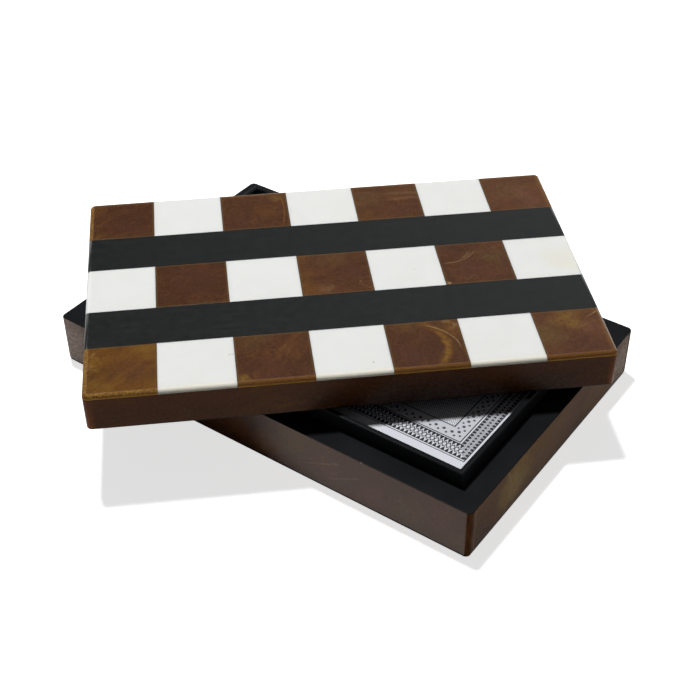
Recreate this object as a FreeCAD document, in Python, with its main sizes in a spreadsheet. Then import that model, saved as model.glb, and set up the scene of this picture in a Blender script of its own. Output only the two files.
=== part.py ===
"""A box for two decks of playing cards, with a lift-off lid that is inlaid in a check.

The box is a tray of black board.  Slabs of marbled amber resin clad its four sides, and a
black liner stands proud of its rim to locate the lid.  A divider makes two wells, and each
well holds one deck against the end of the box, with finger room beside the divider.  The lid
is a board with a recess underneath.  Its sides are clad in the same amber resin, and its top
is a flush inlay: three rows of amber and white tiles with two black stripes between them.
The lid lies turned across the open box, on top of the liner.

Axes: X along the box, Y across it, +Z up.  The origin is the centre of the underside.
All sizes are in millimetres and degrees.
"""

import FreeCAD, Part
import os
import Sketcher

PARTS_FOLDER = "parts"

# Every size that can be set by itself, with its alias in the sheet "Sizes".
DRIVING_SIZES = [
    # playing cards and the room that a deck has in its well
    ("card_width", 63.5),
    ("card_length", 88.9),
    ("card_thickness", 0.3),
    ("card_corner", 3.2),
    ("cards_per_deck", 54),
    ("card_side_gap", 0.75),
    ("card_end_gap", 2.3),
    ("finger_gap", 12.0),
    ("deck_headroom", 4.7),
    # tray
    ("foot_thickness", 0.8),
    ("foot_inset", 0.3),
    ("board_thickness", 3.5),
    ("felt_thickness", 0.8),
    ("felt_clearance", 0.25),
    ("divider_thickness", 4.0),
    ("divider_drop", 3.0),
    ("liner_thickness", 2.0),
    ("liner_rise", 6.0),
    ("wall_thickness", 5.75),
    ("black_edge_radius", 0.6),
    # cladding of tray and lid
    ("veneer_thickness", 3.0),
    ("corner_radius", 2.0),
    ("eased_edge", 0.3),
    # lid
    ("recess_clearance", 0.75),
    ("recess_headroom", 0.7),
    ("lining_thickness", 0.8),
    ("panel_thickness", 5.2),
    ("tile_thickness", 1.5),
    ("tile_edge_radius", 1.2),
    ("stripe_depth", 20.0),
    ("tile_columns", 7),
    ("edge_trim", 1.3),
    # how the lid lies on the open box
    ("lid_angle", 42.45),
    ("lid_shift_x", -4.7),
    ("lid_shift_y", 0.65),
]

# Sizes that follow from the driving ones, in the order in which they build on each other.
WORKED_OUT_SIZES = [
    ("deck_height", "Sizes.cards_per_deck * Sizes.card_thickness"),
    ("well_width", "Sizes.card_length + 2 * Sizes.card_end_gap"),
    ("well_length", "Sizes.card_side_gap + Sizes.card_width + Sizes.finger_gap"),
    ("tray_length", "2 * Layout.well_length + Sizes.divider_thickness"),
    ("liner_length", "Layout.tray_length + 2 * Sizes.liner_thickness"),
    ("liner_width", "Layout.well_width + 2 * Sizes.liner_thickness"),
    ("core_length", "Layout.liner_length + 2 * Sizes.wall_thickness"),
    ("core_width", "Layout.liner_width + 2 * Sizes.wall_thickness"),
    ("box_length", "Layout.core_length + 2 * Sizes.veneer_thickness"),
    ("box_width", "Layout.core_width + 2 * Sizes.veneer_thickness"),
    ("board_level", "Sizes.foot_thickness + Sizes.board_thickness"),
    ("deck_level", "Layout.board_level + Sizes.felt_thickness"),
    ("liner_level", "Layout.deck_level + Layout.deck_height + Sizes.deck_headroom"),
    ("rim_level", "Layout.liner_level - Sizes.liner_rise"),
    ("divider_level", "Layout.liner_level - Sizes.divider_drop"),
    ("recess_length", "Layout.liner_length + 2 * Sizes.recess_clearance"),
    ("recess_width", "Layout.liner_width + 2 * Sizes.recess_clearance"),
    ("recess_depth", "Sizes.liner_rise + Sizes.recess_headroom + Sizes.lining_thickness"),
    ("inlay_level", "Layout.recess_depth + Sizes.panel_thickness"),
    ("lid_height", "Layout.inlay_level + Sizes.tile_thickness"),
    ("rounding", "min(Sizes.corner_radius; Sizes.veneer_thickness - Sizes.eased_edge)"),
    ("foot_rounding", "max(Layout.rounding - Sizes.foot_inset; Sizes.eased_edge)"),
    ("tile_rounding", "min(Sizes.tile_edge_radius; Sizes.tile_thickness - Sizes.eased_edge)"),
    ("row_depth", "(Layout.box_width - 2 * Sizes.stripe_depth) / 3"),
    ("tile_pitch", "(Layout.box_length + 2 * Sizes.edge_trim) / Sizes.tile_columns"),
]

SIDES = ("front", "back", "left", "right")
UPWARDS = FreeCAD.Vector(0, 0, 1)

doc = FreeCAD.newDocument("CardBox")


# ---------------------------------------------------------------- sizes

def make_sizes():
    """The sheet of driving sizes, and the set of sizes worked out from them."""
    sheet = doc.addObject("Spreadsheet::Sheet", "Sizes")
    for row, (alias, value) in enumerate(DRIVING_SIZES, start=1):
        sheet.set("A%d" % row, alias)
        sheet.set("B%d" % row, str(value))
        sheet.setAlias("B%d" % row, alias)
    doc.recompute()
    layout = doc.addObject("App::VarSet", "Layout")
    for name, formula in WORKED_OUT_SIZES:
        layout.addProperty("App::PropertyFloat", name, "Worked out")
        layout.setExpression(name, formula)
        doc.recompute()
    return sheet, layout


sizes, layout = make_sizes()


def value_of(formula):
    """The number that a formula of sheet and layout names gives."""
    return float(layout.evalExpression(formula))


# ---------------------------------------------------------------- sketches

def new_sketch(body, level="0"):
    """A sketch on the body's XY plane, raised to a level."""
    plane = next(f for f in body.Origin.OriginFeatures if f.Role == "XY_Plane")
    sketch = body.newObject("Sketcher::SketchObject", body.Name + "_outline")
    sketch.AttachmentSupport = [(plane, "")]
    sketch.MapMode = "FlatFace"
    sketch.setExpression("AttachmentOffset.Base.z", level)
    return sketch


def pin_corner(sketch, line, point, x, y):
    """Fixes one end of a line by its two coordinates, each a formula."""
    for kind, formula in (("DistanceX", x), ("DistanceY", y)):
        number = sketch.addConstraint(
            Sketcher.Constraint(kind, -1, 1, line, point, value_of(formula)))
        sketch.setExpression("Constraints[%d]" % number, formula)


def draw_polygon(sketch, corners):
    """A closed outline through corners, each a pair of formulas."""
    spots = [FreeCAD.Vector(value_of(x), value_of(y), 0) for x, y in corners]
    lines = []
    for start, end in zip(spots, spots[1:] + spots[:1]):
        lines.append(sketch.addGeometry(Part.LineSegment(start, end), False))
    for line, following in zip(lines, lines[1:] + lines[:1]):
        sketch.addConstraint(Sketcher.Constraint("Coincident", line, 2, following, 1))
    for line, (x, y) in zip(lines, corners):
        pin_corner(sketch, line, 1, x, y)


def rectangle(x_low, x_high, y_low, y_high):
    """The corners of a rectangle, anticlockwise from its low corner."""
    return [(x_low, y_low), (x_high, y_low), (x_high, y_high), (x_low, y_high)]


def centred(length, width):
    """The corners of a rectangle about the origin."""
    return rectangle("-(%s) / 2" % length, "(%s) / 2" % length,
                     "-(%s) / 2" % width, "(%s) / 2" % width)


# ---------------------------------------------------------------- bodies

def new_body(label):
    """An empty body whose label is its sub-part's name."""
    body = doc.addObject("PartDesign::Body", label)
    body.Label = label
    return body


def padded_body(label, corners, level, height):
    """A body with one outline padded upwards from a level."""
    body = new_body(label)
    sketch = new_sketch(body, level)
    draw_polygon(sketch, corners)
    pad = body.newObject("PartDesign::Pad", label + "_pad")
    pad.Profile = sketch
    pad.setExpression("Length", height)
    doc.recompute()
    sketch.Visibility = False
    return body


def round_edges(body, wanted, radius):
    """Fillets those edges of the body's tip that the test wanted(edge) picks."""
    base = body.Tip
    names = ["Edge%d" % number for number, edge in enumerate(base.Shape.Edges, start=1)
             if wanted(edge)]
    fillet = body.newObject("PartDesign::Fillet", body.Name + "_round")
    fillet.Base = (base, names)
    fillet.setExpression("Radius", radius)
    doc.recompute()
    return body


def is_upright(edge):
    """True for an edge that runs along Z."""
    low, high = edge.BoundBox.ZMin, edge.BoundBox.ZMax
    return high - low > 1e-6 and abs(edge.Length - (high - low)) < 1e-6


def lies_at(edge, level):
    """True for an edge that lies flat at a level."""
    return abs(edge.BoundBox.ZMin - level) < 1e-6 and abs(edge.BoundBox.ZMax - level) < 1e-6


def eased_block(label, height, top_radius):
    """A blank of the box's plan: rounded corners, a rounded top edge and an eased foot."""
    body = padded_body(label, centred("Layout.box_length", "Layout.box_width"), "0", height)
    round_edges(body, is_upright, "Layout.rounding")
    round_edges(body, lambda edge: lies_at(edge, value_of(height)), top_radius)
    round_edges(body, lambda edge: lies_at(edge, 0), "Sizes.eased_edge")
    return body


def cut_from(label, blank, x_low, x_high, y_low, y_high, z_low, z_high):
    """The part of a blank that lies inside a box given by its six limits."""
    cell = doc.addObject("Part::Box", label + "_cell")
    cell.setExpression("Length", "(%s) - (%s)" % (x_high, x_low))
    cell.setExpression("Width", "(%s) - (%s)" % (y_high, y_low))
    cell.setExpression("Height", "(%s) - (%s)" % (z_high, z_low))
    cell.setExpression("Placement.Base.x", x_low)
    cell.setExpression("Placement.Base.y", y_low)
    cell.setExpression("Placement.Base.z", z_low)
    piece = doc.addObject("Part::Common", label)
    piece.Label = label
    piece.Base = blank
    piece.Tool = cell
    return piece


def frame_sides(length, width, thickness):
    """Plan limits of four boards round a rectangle: the long ones cover the short ones' ends."""
    x_out, y_out = "(%s) / 2" % length, "(%s) / 2" % width
    x_in, y_in = "(%s - %s)" % (x_out, thickness), "(%s - %s)" % (y_out, thickness)
    return {
        "front": ("-" + x_out, x_out, "-" + y_out, "-" + y_in),
        "back": ("-" + x_out, x_out, y_in, y_out),
        "left": ("-" + x_out, "-" + x_in, "-" + y_in, y_in),
        "right": (x_in, x_out, "-" + y_in, y_in),
    }


def butted_frame(prefix, length, width, thickness, level, height):
    """Four boards round a rectangle, with butted corners."""
    boards = []
    for side, limits in frame_sides(length, width, thickness).items():
        boards.append(padded_body(prefix + "_" + side, rectangle(*limits), level, height))
    return boards


def cladding(prefix, blank, level, top):
    """Four slabs cut from a blank's skin, one for each side."""
    limits = frame_sides("Layout.box_length", "Layout.box_width", "Sizes.veneer_thickness")
    return [cut_from(prefix + "_" + side, blank, *limits[side], level, top) for side in SIDES]


# ---------------------------------------------------------------- tray

def make_liner():
    """Four mitred strips that stand proud of the rim, with rounded top edges."""
    strips = []
    spans = {"front": ("Layout.liner_length", "Layout.liner_width", 0),
             "right": ("Layout.liner_width", "Layout.liner_length", 90),
             "back": ("Layout.liner_length", "Layout.liner_width", 180),
             "left": ("Layout.liner_width", "Layout.liner_length", 270)}
    for side, (along, across, turn) in spans.items():
        outer, inner = "%s / 2" % along, "(%s / 2 - Sizes.liner_thickness)" % along
        far, near = "-%s / 2" % across, "(Sizes.liner_thickness - %s / 2)" % across
        corners = [("-" + outer, far), (outer, far), (inner, near), ("-" + inner, near)]
        strip = padded_body("liner_" + side, corners, "Layout.board_level",
                            "Layout.liner_level - Layout.board_level")
        top = value_of("Layout.liner_level")
        round_edges(strip, lambda edge: lies_at(edge, top) and runs_along_x(edge),
                    "Sizes.black_edge_radius")
        strip.Placement = FreeCAD.Placement(FreeCAD.Vector(), FreeCAD.Rotation(UPWARDS, turn))
        strips.append(strip)
    return strips


def runs_along_x(edge):
    """True for a straight edge along X."""
    return abs(edge.Length - edge.BoundBox.XLength) < 1e-6


def make_divider():
    """The strip between the two wells, a little lower than the liner."""
    divider = padded_body(
        "divider", centred("Sizes.divider_thickness", "Layout.well_width"),
        "Layout.board_level", "Layout.divider_level - Layout.board_level")
    top = value_of("Layout.divider_level")
    return round_edges(divider, lambda edge: lies_at(edge, top) and not runs_along_x(edge),
                       "Sizes.black_edge_radius")


def make_tray():
    """Foot, base board, walls, liner, divider, felts and cladding."""
    foot = padded_body("foot_felt", centred("Layout.box_length - 2 * Sizes.foot_inset",
                                            "Layout.box_width - 2 * Sizes.foot_inset"),
                       "0", "Sizes.foot_thickness")
    pieces = [
        round_edges(foot, is_upright, "Layout.foot_rounding"),
        padded_body("base_board", centred("Layout.liner_length", "Layout.liner_width"),
                    "Sizes.foot_thickness", "Sizes.board_thickness"),
    ]
    pieces += butted_frame("wall", "Layout.core_length", "Layout.core_width",
                           "Sizes.wall_thickness", "Sizes.foot_thickness",
                           "Layout.rim_level - Sizes.foot_thickness")
    pieces += make_liner()
    pieces.append(make_divider())
    half_divider = "Sizes.divider_thickness / 2 + Sizes.felt_clearance"
    end = "Layout.tray_length / 2 - Sizes.felt_clearance"
    side = "Layout.well_width / 2 - Sizes.felt_clearance"
    for name, x_low, x_high in (("left", "-(%s)" % end, "-(%s)" % half_divider),
                                ("right", half_divider, end)):
        pieces.append(padded_body(
            "well_felt_" + name, rectangle(x_low, x_high, "-(%s)" % side, side),
            "Layout.board_level", "Sizes.felt_thickness"))
    blank = eased_block("tray_blank", "Layout.rim_level - Sizes.foot_thickness",
                        "Sizes.eased_edge")
    blank.setExpression("Placement.Base.z", "Sizes.foot_thickness")
    pieces += cladding("veneer", blank, "Sizes.foot_thickness", "Layout.rim_level")
    return pieces


# ---------------------------------------------------------------- decks

def card_stack(label, sign, level, height):
    """Cards lying in one well, against the end of the box on the side that sign gives."""
    near_end = "Layout.tray_length / 2 - Sizes.card_side_gap"
    x_far, x_near = near_end, "(%s) - Sizes.card_width" % near_end
    if sign < 0:
        x_far, x_near = "-(%s)" % x_near, "-(%s)" % near_end
    corners = rectangle(x_near, x_far, "-Sizes.card_length / 2", "Sizes.card_length / 2")
    body = padded_body(label, corners, level, height)
    return round_edges(body, is_upright, "Sizes.card_corner")


def make_decks():
    """For each well, the block of squared-up cards and the loose card on top of it."""
    pieces = []
    block = "Layout.deck_height - Sizes.card_thickness"
    for name, sign in (("left", -1), ("right", 1)):
        pieces.append(card_stack("deck_" + name, sign, "Layout.deck_level", block))
        pieces.append(card_stack("top_card_" + name, sign,
                                 "Layout.deck_level + " + block, "Sizes.card_thickness"))
    return pieces


# ---------------------------------------------------------------- lid

def inlay_rows():
    """Back and front limits of each band of the inlay, from the back edge forwards."""
    bands = ("row", "stripe", "middle", "stripe", "row")
    half_middle = "(Layout.row_depth / 2)"
    inner = "(Layout.row_depth / 2 + Sizes.stripe_depth)"
    outer = "Layout.box_width / 2"
    limits = [outer, inner, half_middle, "-" + half_middle, "-" + inner, "-" + outer]
    return list(zip(bands, limits, limits[1:]))


def column_limits():
    """Left and right limits of each tile column: the lid's ends trim the two end columns."""
    columns = int(value_of("Sizes.tile_columns"))
    joints = ["(%d - Sizes.tile_columns / 2) * Layout.tile_pitch" % number
              for number in range(1, columns)]
    lines = ["-Layout.box_length / 2"] + joints + ["Layout.box_length / 2"]
    return list(zip(lines, lines[1:]))


def make_inlay(blank):
    """Three rows of tiles with a stripe between each two, flush and with no gap."""
    pieces = []
    tile_rows = iter(("back", "middle", "front"))
    stripes = iter(("back", "front"))
    for band, y_high, y_low in inlay_rows():
        if band == "stripe":
            pieces.append(cut_from("stripe_" + next(stripes), blank,
                                   "-Layout.box_length / 2", "Layout.box_length / 2",
                                   y_low, y_high, "Layout.inlay_level", "Layout.lid_height"))
            continue
        row = next(tile_rows)
        for column, (x_low, x_high) in enumerate(column_limits(), start=1):
            pieces.append(cut_from("tile_%s_%d" % (row, column), blank, x_low, x_high,
                                   y_low, y_high, "Layout.inlay_level", "Layout.lid_height"))
    return pieces


def make_lid():
    """Panel, rails, cladding, lining and inlay, modelled with the lid's underside at zero."""
    core = ("Layout.core_length", "Layout.core_width")
    pieces = [padded_body("lid_panel", centred(*core), "Layout.recess_depth",
                          "Sizes.panel_thickness")]
    pieces += butted_frame("lid_rail", *core,
                           "(Sizes.wall_thickness - Sizes.recess_clearance)",
                           "0", "Layout.recess_depth")
    pieces.append(padded_body(
        "lid_lining", centred("Layout.recess_length", "Layout.recess_width"),
        "Layout.recess_depth - Sizes.lining_thickness", "Sizes.lining_thickness"))
    blank = eased_block("lid_blank", "Layout.lid_height", "Layout.tile_rounding")
    pieces += cladding("lid_veneer", blank, "0", "Layout.inlay_level")
    pieces += make_inlay(blank)
    for piece in pieces:
        piece.setExpression("Placement.Rotation.Angle", "Sizes.lid_angle")
        piece.setExpression("Placement.Base.x", "Sizes.lid_shift_x")
        piece.setExpression("Placement.Base.y", "Sizes.lid_shift_y")
        piece.setExpression("Placement.Base.z", "Layout.liner_level")
    return pieces


# ---------------------------------------------------------------- checks and files

def check(pieces):
    """Stops the build if an object failed or a sub-part isn't sound."""
    for item in doc.Objects:
        if "Invalid" in item.State or "Error" in item.State:
            raise RuntimeError("%s failed: %s" % (item.Name, item.State))
    for piece in pieces:
        shape = piece.Shape
        if shape.isNull() or not shape.isValid() or len(shape.Solids) != 1:
            raise RuntimeError("%s isn't one sound solid" % piece.Label)


def write(pieces):
    """One STEP file for each sub-part, named by its label."""
    os.makedirs(PARTS_FOLDER, exist_ok=True)
    for piece in pieces:
        piece.Shape.exportStep(os.path.join(PARTS_FOLDER, piece.Label + ".step"))


all_pieces = make_tray() + make_decks() + make_lid()
doc.recompute()
check(all_pieces)
write(all_pieces)
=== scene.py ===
"""The looks of the playing card box: finishes, loose cards, table, light and camera.

Patterns are drawn at the object's real size, in the tray's or the lid's own plan, so lengths
in the finishes and on the cards are in millimetres. Table, lamp and camera are in metres.
"""

import math
import random

import bmesh
import bpy
from mathutils import Matrix, Vector


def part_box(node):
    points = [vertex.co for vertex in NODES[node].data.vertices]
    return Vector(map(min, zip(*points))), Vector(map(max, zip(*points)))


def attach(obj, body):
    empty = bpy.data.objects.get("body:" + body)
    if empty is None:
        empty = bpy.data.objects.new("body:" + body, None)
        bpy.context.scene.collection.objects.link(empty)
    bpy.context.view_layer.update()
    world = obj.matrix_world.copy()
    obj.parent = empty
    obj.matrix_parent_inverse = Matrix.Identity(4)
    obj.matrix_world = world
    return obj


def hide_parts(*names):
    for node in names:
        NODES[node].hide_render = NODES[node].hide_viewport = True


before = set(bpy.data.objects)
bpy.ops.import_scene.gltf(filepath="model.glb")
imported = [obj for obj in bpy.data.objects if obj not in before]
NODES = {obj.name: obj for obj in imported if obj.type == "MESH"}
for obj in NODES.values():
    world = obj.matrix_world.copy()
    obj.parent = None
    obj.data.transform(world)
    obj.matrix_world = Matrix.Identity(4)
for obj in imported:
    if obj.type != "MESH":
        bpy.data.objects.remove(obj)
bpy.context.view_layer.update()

MM = 0.001
SIDES = ("front", "back", "left", "right")


# ---- places worked out from the frame

def lid_plan():
    """Centre and turn of the lid, from its panel's lowest-y and highest-x corners."""
    corners = [vertex.co for vertex in NODES["lid_panel"].data.vertices]
    front_left = min(corners, key=lambda corner: corner.y)
    front_right = max(corners, key=lambda corner: corner.x)
    along = front_right - front_left
    low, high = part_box("lid_panel")
    return (low + high) / 2, math.atan2(along.y, along.x)


def top_of(node):
    """Height of a node's highest point, in millimetres."""
    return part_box(node)[1].z / MM


def foot_of(node):
    """Height of a node's lowest point, in millimetres."""
    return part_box(node)[0].z / MM


LID_CENTRE, LID_TURN = lid_plan()
TRAY_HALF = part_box("veneer_front")[1].x / MM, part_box("veneer_back")[1].y / MM
RIM_TOP = top_of("wall_front")
LID_FOOT = foot_of("lid_rail_front")
LID_TOP = top_of("tile_middle_4")
INLAY_FOOT = foot_of("tile_middle_4")
VENEER_THICKNESS = (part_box("veneer_right")[1].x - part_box("veneer_right")[0].x) / MM


def srgb(red, green, blue):
    """A colour given as 0 to 255 on the screen, as Blender's linear colour."""
    def linear(value):
        value /= 255
        return value / 12.92 if value <= 0.04045 else ((value + 0.055) / 1.055) ** 2.4
    return linear(red), linear(green), linear(blue), 1.0


def put(name, data):
    """A new object in the scene."""
    item = bpy.data.objects.new(name, data)
    bpy.context.scene.collection.objects.link(item)
    return item


def put_mesh(name, mesh):
    """A new object in the scene, made of a bmesh."""
    data = bpy.data.meshes.new(name)
    mesh.to_mesh(data)
    mesh.free()
    return put(name, data)


# ---- writing node trees

# Numbers of the outputs of the nodes TexCoord, LightPath, AmbientOcclusion and TexNoise.
GENERATED_COORDINATES = 0
OBJECT_COORDINATES = 3
CAMERA_RAY = 0
GLOSSY_RAY = 3
TRANSMISSION_RAY = 6
OPENNESS = 1
NOISE_COLOUR = 1

# Numbers of the sockets of a Mix node that mixes colours.
MIX_FACTOR = 0
MIX_FIRST = 6
MIX_SECOND = 7
MIX_RESULT = 2


class Nodes:
    """One node tree. Its methods add nodes and return the socket that holds the result."""

    def __init__(self, tree):
        self.tree = tree

    def add(self, kind, inputs=(), output=0, **settings):
        """A node with its settings and inputs, by name or number, and one of its outputs."""
        node = self.tree.nodes.new("ShaderNode" + kind)
        for name, value in settings.items():
            setattr(node, name, value)
        for socket, value in dict(inputs).items():
            self.feed(node.inputs[socket], value)
        return node.outputs[output]

    def feed(self, socket, value):
        """Links a socket to another one, or gives it a number, vector or colour."""
        if isinstance(value, bpy.types.NodeSocket):
            self.tree.links.new(value, socket)
        else:
            socket.default_value = value

    def math(self, operation, *values):
        return self.add("Math", enumerate(values), operation=operation)

    def fold(self, operation, values):
        """An operation over several values, from the first to the last."""
        total = values[0]
        for value in values[1:]:
            total = self.math(operation, total, value)
        return total

    def plus(self, *values):
        return self.fold("ADD", values)

    def times(self, *values):
        return self.fold("MULTIPLY", values)

    def least(self, *values):
        return self.fold("MINIMUM", values)

    def most(self, *values):
        return self.fold("MAXIMUM", values)

    def minus(self, first, second):
        return self.math("SUBTRACT", first, second)

    def absolute(self, value):
        return self.math("ABSOLUTE", value)

    def hypotenuse(self, first, second):
        return self.math("SQRT", self.plus(self.times(first, first),
                                           self.times(second, second)))

    def ramp(self, value, low, high, start=0.0, end=1.0, course="SMOOTHSTEP"):
        """start below low, end above high, and a smooth step or another course between."""
        return self.add("MapRange", {"Value": value, "From Min": low, "From Max": high,
                                     "To Min": start, "To Max": end},
                        interpolation_type=course)

    def fade(self, value, full, gone, strength=1.0):
        """strength below full, nothing above gone, and a smooth step between."""
        return self.ramp(value, full, gone, strength, 0.0)

    def band(self, value, centre, half_width, soft):
        """One within half_width of centre, fading out over soft."""
        away = self.absolute(self.minus(value, centre))
        return self.fade(away, half_width, half_width + soft)

    def blend(self, factor, first, second):
        """The second colour over the first, by factor."""
        return self.add("Mix", {MIX_FACTOR: factor, MIX_FIRST: first, MIX_SECOND: second},
                        output=MIX_RESULT, data_type="RGBA")

    def noise(self, place, scale, detail=4.0, roughness=0.55, distortion=0.0, colour=False):
        return self.add("TexNoise", {"Vector": place, "Scale": scale, "Detail": detail,
                                     "Roughness": roughness, "Distortion": distortion},
                        output=NOISE_COLOUR if colour else 0)

    def dots(self, place, scale):
        """Distance to the nearest of scattered points."""
        return self.add("TexVoronoi", {"Vector": place, "Scale": scale})

    def uneven(self, place, scale, height):
        """A ragged rise and fall about zero, over a total height."""
        return self.times(self.minus(self.noise(place, scale, detail=5.0), 0.5), height)

    def place(self):
        """The place on the tray, in millimetres in its own frame."""
        return self.scaled(self.add("TexCoord", output=OBJECT_COORDINATES), 1 / MM)

    def lid_place(self):
        """The place on the lid, in millimetres from its plan's centre, heights as on the tray."""
        spot = self.add("TexCoord", output=OBJECT_COORDINATES)
        turned = self.add("Mapping", {"Vector": spot,
                                      "Location": (LID_CENTRE.x, LID_CENTRE.y, 0),
                                      "Rotation": (0, 0, LID_TURN)}, vector_type="TEXTURE")
        return self.scaled(turned, 1 / MM)

    def moved(self, place, offset=(0, 0, 0), turn=0.0, stretch=(1, 1, 1)):
        """A place stretched, then turned about Z by degrees, then shifted."""
        return self.add("Mapping", {"Vector": place, "Location": offset,
                                    "Rotation": (0, 0, math.radians(turn)),
                                    "Scale": stretch})

    def scaled(self, vector, factor):
        return self.add("VectorMath", {"Vector": vector, "Scale": factor}, operation="SCALE")

    def split(self, place):
        """The three coordinates of a place."""
        node = self.tree.nodes.new("ShaderNodeSeparateXYZ")
        self.feed(node.inputs[0], place)
        return node.outputs[0], node.outputs[1], node.outputs[2]

    def join(self, x, y, z):
        return self.add("CombineXYZ", {"X": x, "Y": y, "Z": z})

    def rays(self):
        """One for rays from the camera, and one for mirrored or refracted rays."""
        mirror_ray = self.most(self.add("LightPath", output=GLOSSY_RAY),
                               self.add("LightPath", output=TRANSMISSION_RAY))
        return self.add("LightPath", output=CAMERA_RAY), mirror_ray

    def bump(self, height, depth):
        """A normal from a height between 0 and 1, for a relief so many millimetres deep."""
        return self.add("Bump", {"Height": height, "Distance": depth * MM, "Strength": 1.0})


class Finish(Nodes):
    """One material, whose nodes feed a Principled shader."""

    def __init__(self, name):
        self.material = bpy.data.materials.new(name)
        self.material.use_nodes = True
        super().__init__(self.material.node_tree)
        self.shader = self.tree.nodes["Principled BSDF"]

    def set(self, **values):
        """Sets the shader's sockets: an underscore in a name stands for a space."""
        for name, value in values.items():
            self.feed(self.shader.inputs[name.replace("_", " ")], value)


# ---- resin

AMBER_NIGHT = srgb(36, 21, 13)
AMBER_DEEP = srgb(69, 41, 24)
AMBER_BROWN = srgb(97, 60, 35)
AMBER_WINE = srgb(80, 47, 37)
AMBER_OLIVE = srgb(104, 82, 46)
AMBER_ROSE = srgb(136, 92, 76)
# Painted light: the pale colour that lightens the far ends of the tray's slabs.
AMBER_PAINTED_LIGHT = srgb(196, 172, 156)
AMBER_GOLD = srgb(122, 82, 28)
AMBER_BRIGHT = srgb(148, 114, 46)
AMBER_VEIN = srgb(178, 150, 104)
AMBER_GLUE = srgb(186, 150, 112)
# From here to the side glow, painted light: warm bands and glows along edges and tops, as of light
# let through the resin.
AMBER_BACK_EDGE_GLOW = srgb(136, 98, 50)
AMBER_FRONT_EDGE = srgb(102, 64, 24)
AMBER_SANDED_GLOW = srgb(154, 118, 48)
AMBER_FRONT_GLOW = srgb(226, 160, 72)
AMBER_END_GLOW = srgb(176, 104, 60)
AMBER_SIDE_GLOW = srgb(104, 62, 34)
RESIN_CREAM = srgb(234, 230, 204)
RESIN_CLEAR = srgb(239, 240, 237)
RESIN_CLOUD = srgb(236, 236, 232)
RESIN_SPECK = srgb(170, 168, 160)
# Painted glow for the white tiles' front edge.
RESIN_FOOT_GLOW = srgb(238, 232, 212)
RESIN_GREY = srgb(140, 140, 134)
STRIPE_DARK = srgb(21, 23, 23)
STRIPE_LIGHT = srgb(25, 27, 27)
# Colours of the marks by kind; the pale painted_light kind is painted light.
MARK_COLOURS = {
    "gold": AMBER_GOLD, "bright": AMBER_BRIGHT, "pale": AMBER_VEIN, "dark": AMBER_DEEP,
    "night": AMBER_NIGHT, "wine": AMBER_WINE, "olive": AMBER_OLIVE, "rose": AMBER_ROSE,
    "painted_light": AMBER_PAINTED_LIGHT, "cream": RESIN_CREAM, "grey": RESIN_GREY}

# How far apart two pieces lie in the pattern when their seeds differ by one.
AMBER_SEED_STEP = (37.0, 61.0, 13.0)
WHITE_SEED_STEP = (19.0, 7.0, 0.0)
WHITE_SEEDS = 23
SWIRL_REACH = 18.0

# Shares of clouds, wisps and grain in the amber's depth, and of wisps and grain in its gold
# beside the drift, each with the mean of the whole sum.
CLOUD_IN_DEPTH = 0.65
WISPS_IN_DEPTH = 0.5
GRAIN_IN_DEPTH = 1.2
DEPTH_MEAN = 1.175
WISPS_IN_GOLD = 0.5
GRAIN_IN_GOLD = 0.2
GOLD_MEAN = 0.85

# Fades in from an edge: full up to a distance, gone at another, and strength.
FRONT_SANDING = (1.0, 1.8, 1.0)
BACK_SANDING = (0.9, 1.3, 0.08)
# The front, back and white edge fades below place painted glow.
FRONT_EDGE_FADE = (0.9, 1.9, 0.95)
BACK_EDGE_FADE = (0.4, 3.0, 0.5)
WHITE_EDGE_FADE = (0.2, 3.2, 0.7)
JOINT_SHADE_FADE = (0.05, 0.25, 0.6)

# Marks: height of their ragged outline in widths or radii, scale of it in a patch's radii,
# and the share of its strength that a mark keeps where it is broken.
MARK_RAGGED = 1.6
PATCH_SCALE = 1.6
MARK_LEAST = 0.35

# Surface of the resin: how much rougher its haze and its sanded edges are than its polish,
# depth of its ripples in millimetres, and share of the fine ones.
RESIN_IOR = 1.5
HAZE_ROUGHNESS = 0.08
SANDED_ROUGHNESS = 0.75
RIPPLE_DEPTH = 0.04
FINE_RIPPLES = 0.12

# How deep light soaks into the tiles.
AMBER_SOAK = 1.6
WHITE_SOAK = 1.2

# The line beside a tile's joints: distance from the joint, half width and softness.
JOINT_LINE = (0.4, 0.1, 0.25)
JOINT_LINE_STRENGTH = 0.6

# The rounded front edge is painted with a glow, as of light let through, up to a height above the
# inlay's foot, and above that with a golden band, speckled as by sanding, strongly up to one x on
# the lid and weakly from another. Both are painted light.
GLOW_HEIGHT = 1.0
SPECKLED_TO = -66.0
PLAIN_FROM = -60.0
PLAIN_SPECKLE = 0.2


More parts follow.
